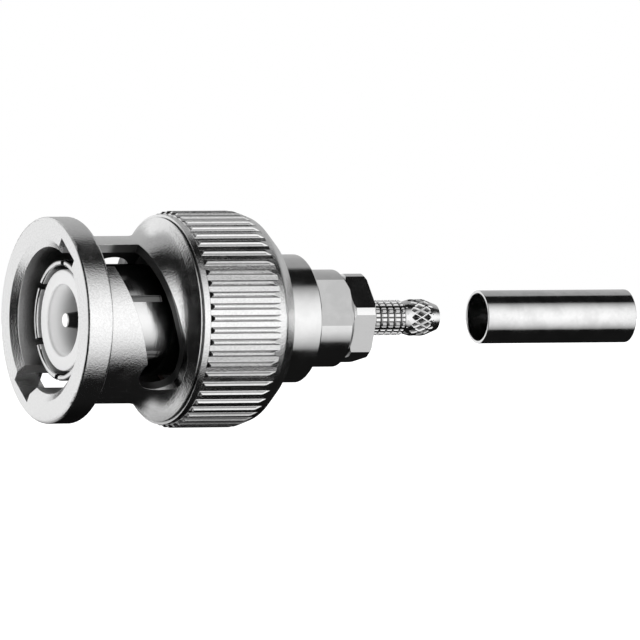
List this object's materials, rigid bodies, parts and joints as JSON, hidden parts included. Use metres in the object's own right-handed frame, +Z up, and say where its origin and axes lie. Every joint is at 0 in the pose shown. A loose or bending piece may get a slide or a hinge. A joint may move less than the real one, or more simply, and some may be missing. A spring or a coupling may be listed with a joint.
{
  "type": "bnc connector",
  "caption": "Bayonet coaxial plug with a sprung knurled coupling nut, slotted outer contact, centre pin in a white cup, knurled crimp post and a separate crimp ferrule.",
  "frame": {"origin": "centre of the mouth, in the plane of the coupling nut's front face", "axes": "-X points out of the mouth towards the jack, +X along the axis towards the cable and ferrule, +Z up as pictured"},
  "size_m": [0.0432, 0.0144, 0.0144],
  "materials": {
    "nickel_nut": "bright nickel plate",
    "nickel_body": "bright nickel plate",
    "nickel_contact": "bright nickel plate",
    "nickel_stem": "bright nickel plate",
    "nickel_ferrule": "bright nickel plate",
    "pin_plate": "bright plate",
    "insulator": "white fluoroplastic",
    "spring_steel": "spring steel",
    "seal_rubber": "silicone rubber"
  },
  "bodies": {
    "connector_body": {"main_body": "nickel_body", "outer_contact": "nickel_contact", "gasket": "seal_rubber", "front_insulator": "insulator", "rear_insulator": "insulator", "centre_contact": "pin_plate", "crimp_stem": "nickel_stem", "front_wave_washer": "spring_steel"},
    "spacer": {"spacer_washer": "spring_steel", "rear_wave_washer": "spring_steel"},
    "thrust": {"thrust_washer": "spring_steel"},
    "nut": {"coupling_nut": "nickel_nut"},
    "ferrule": {"crimp_ferrule": "nickel_ferrule"}
  },
  "joints": [
    {"name": "nut_draw", "type": "slide", "parent": "connector_body", "child": "thrust", "axis": [-1, 0, 0], "range_m": [0, 0.0006], "stiffness_N_per_m": 13000, "springref_m": -0.0001, "deforming": ["rear_wave_washer"]},
    {"name": "spacer_draw", "type": "slide", "parent": "connector_body", "child": "spacer", "axis": [-1, 0, 0], "range_m": [0, 0.0003], "deforming": ["front_wave_washer"]},
    {"name": "nut_turn", "type": "hinge", "parent": "thrust", "child": "nut", "pos_m": [0, 0, 0], "axis": [1, 0, 0], "continuous": true},
    {"name": "ferrule_slide", "type": "slide", "parent": "connector_body", "child": "ferrule", "axis": [-1, 0, 0], "range_m": [0, 0.0089]}
  ],
  "couplings": [
    {"joint": "spacer_draw", "follows": "nut_draw", "ratio": 0.5}
  ]
}
